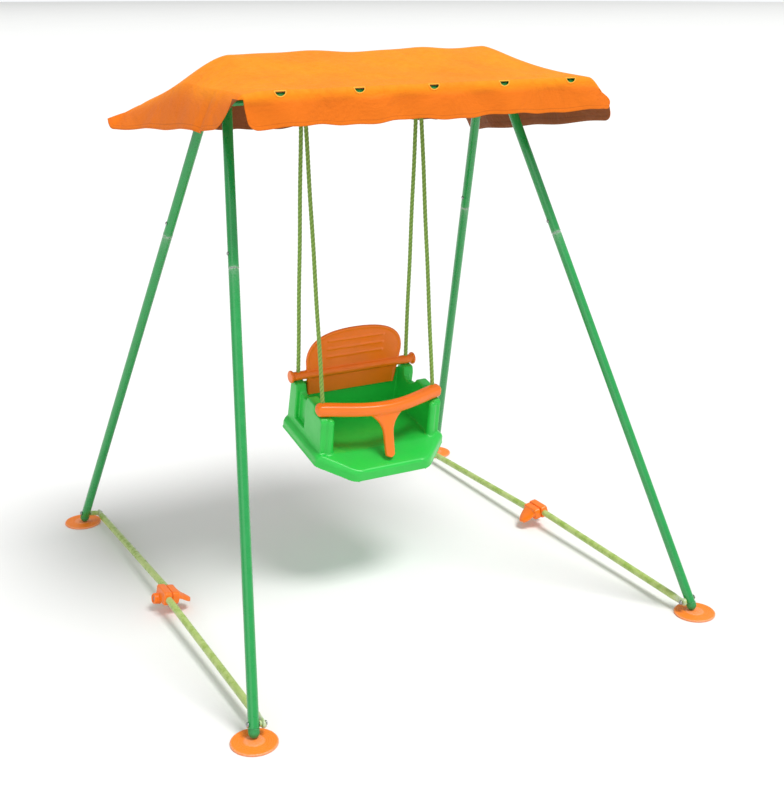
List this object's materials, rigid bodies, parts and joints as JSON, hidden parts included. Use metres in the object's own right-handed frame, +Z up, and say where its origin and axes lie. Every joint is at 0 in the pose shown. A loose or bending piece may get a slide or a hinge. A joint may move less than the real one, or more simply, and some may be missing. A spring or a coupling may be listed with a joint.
{
  "type": "toddler seat swing",
  "caption": "Folding A-frame garden swing with a cloth canopy, rope-hung bucket seat, sliding T bar and hinged floor rails.",
  "frame": {"origin": "on the floor, in the middle of the four feet", "axes": "+X to the right seen from the front, -Y to the front where the child faces, +Z up"},
  "size_m": [1.348, 1.446, 1.4074],
  "materials": {
    "green_tube": "glossy green enamel on steel tube",
    "lime_tube": "satin lime enamel, slightly mottled",
    "bare_steel": "zinc plated",
    "orange_moulding": "fine satin moulded plastic",
    "green_moulding": "satin to glossy moulded plastic",
    "cap_moulding": "satin moulded plastic",
    "rope_cord": "braided synthetic rope",
    "canopy_cloth": "coated woven cloth with a light crease"
  },
  "bodies": {
    "frame": {"crossbar": "green_tube", "canopy": "canopy_cloth", "canopy_rail_front": "green_tube", "canopy_rail_rear": "green_tube", "top_bracket_left": "green_tube", "canopy_arm_left": "green_tube", "arm_bolt_left": "bare_steel", "hanger_clamp_left": "bare_steel", "leg_upper_front_left": "green_tube", "leg_lower_front_left": "green_tube", "leg_screw_front_left": "bare_steel", "foot_cap_front_left": "cap_moulding", "bracket_bolt_front_left": "bare_steel", "bracket_bolt_rear_left": "bare_steel", "rail_pin_front_left": "bare_steel", "foot_disc_front_left": "orange_moulding", "top_bracket_right": "green_tube", "canopy_arm_right": "green_tube", "arm_bolt_right": "bare_steel", "hanger_clamp_right": "bare_steel", "leg_upper_front_right": "green_tube", "leg_lower_front_right": "green_tube", "leg_screw_front_right": "bare_steel", "foot_cap_front_right": "cap_moulding", "bracket_bolt_front_right": "bare_steel", "bracket_bolt_rear_right": "bare_steel", "rail_pin_front_right": "bare_steel", "foot_disc_front_right": "orange_moulding"},
    "rear_leg_left": {"leg_upper_rear_left": "green_tube", "leg_lower_rear_left": "green_tube", "leg_screw_rear_left": "bare_steel", "foot_cap_rear_left": "cap_moulding", "rail_pin_rear_left": "bare_steel", "foot_disc_rear_left": "orange_moulding"},
    "front_rail_left": {"rail_front_left": "lime_tube", "knuckle_outer_left": "orange_moulding", "knuckle_screw_left": "bare_steel"},
    "rear_rail_left": {"rail_rear_left": "lime_tube", "knuckle_inner_left": "orange_moulding"},
    "swing": {"hanger_ring_left": "bare_steel", "rope_left": "rope_cord", "hanger_ring_right": "bare_steel", "rope_right": "rope_cord", "seat_shell": "green_moulding"},
    "rear_leg_right": {"leg_upper_rear_right": "green_tube", "leg_lower_rear_right": "green_tube", "leg_screw_rear_right": "bare_steel", "foot_cap_rear_right": "cap_moulding", "rail_pin_rear_right": "bare_steel", "foot_disc_rear_right": "orange_moulding"},
    "front_rail_right": {"rail_front_right": "lime_tube", "knuckle_outer_right": "orange_moulding", "knuckle_screw_right": "bare_steel"},
    "rear_rail_right": {"rail_rear_right": "lime_tube", "knuckle_inner_right": "orange_moulding"},
    "t_bar": {"t_bar": "orange_moulding"},
    "back_rest": {"back_rest": "orange_moulding"}
  },
  "joints": [
    {"name": "fold_left", "type": "hinge", "parent": "frame", "child": "rear_leg_left", "pos_m": [-0.37798, 0.0364, 1.35031], "axis": [-0.9842, 0, 0.1771], "range_deg": [0, 40]},
    {"name": "front_rail_left_turn", "type": "hinge", "parent": "frame", "child": "front_rail_left", "pos_m": [-0.59297, -0.65338, 0.03153], "axis": [0.9842, 0, -0.1771], "range_deg": [0, 59.1]},
    {"name": "rear_rail_left_turn", "type": "hinge", "parent": "rear_leg_left", "child": "rear_rail_left", "pos_m": [-0.57427, 0.65338, 0.02817], "axis": [-0.9842, 0, 0.1771], "range_deg": [0, 50.1]},
    {"name": "fold_right", "type": "hinge", "parent": "frame", "child": "rear_leg_right", "pos_m": [0.37798, 0.0364, 1.35031], "axis": [-0.9842, 0, -0.1771], "range_deg": [0, 40]},
    {"name": "front_rail_right_turn", "type": "hinge", "parent": "frame", "child": "front_rail_right", "pos_m": [0.59297, -0.65338, 0.03153], "axis": [0.9842, 0, 0.1771], "range_deg": [0, 59.1]},
    {"name": "rear_rail_right_turn", "type": "hinge", "parent": "rear_leg_right", "child": "rear_rail_right", "pos_m": [0.57427, 0.65338, 0.02817], "axis": [-0.9842, 0, -0.1771], "range_deg": [0, 50.1]},
    {"name": "swing", "type": "hinge", "parent": "frame", "child": "swing", "pos_m": [0, 0, 1.322], "axis": [1, 0, 0], "range_deg": [-38, 38]},
    {"name": "t_bar_lift", "type": "slide", "parent": "swing", "child": "t_bar", "axis": [0, 0.097, 0.9953], "range_m": [0, 0.3]},
    {"name": "back_rest_lift", "type": "slide", "parent": "swing", "child": "back_rest", "axis": [0, -0.0784, 0.9969], "range_m": [0, 0.2]}
  ],
  "couplings": [
    {"joint": "front_rail_left_turn", "follows": "fold_left", "ratio": 1.475},
    {"joint": "rear_rail_left_turn", "follows": "fold_left", "ratio": 1.25},
    {"joint": "fold_right", "follows": "fold_left", "ratio": 1},
    {"joint": "front_rail_right_turn", "follows": "fold_left", "ratio": 1.475},
    {"joint": "rear_rail_right_turn", "follows": "fold_left", "ratio": 1.25}
  ]
}
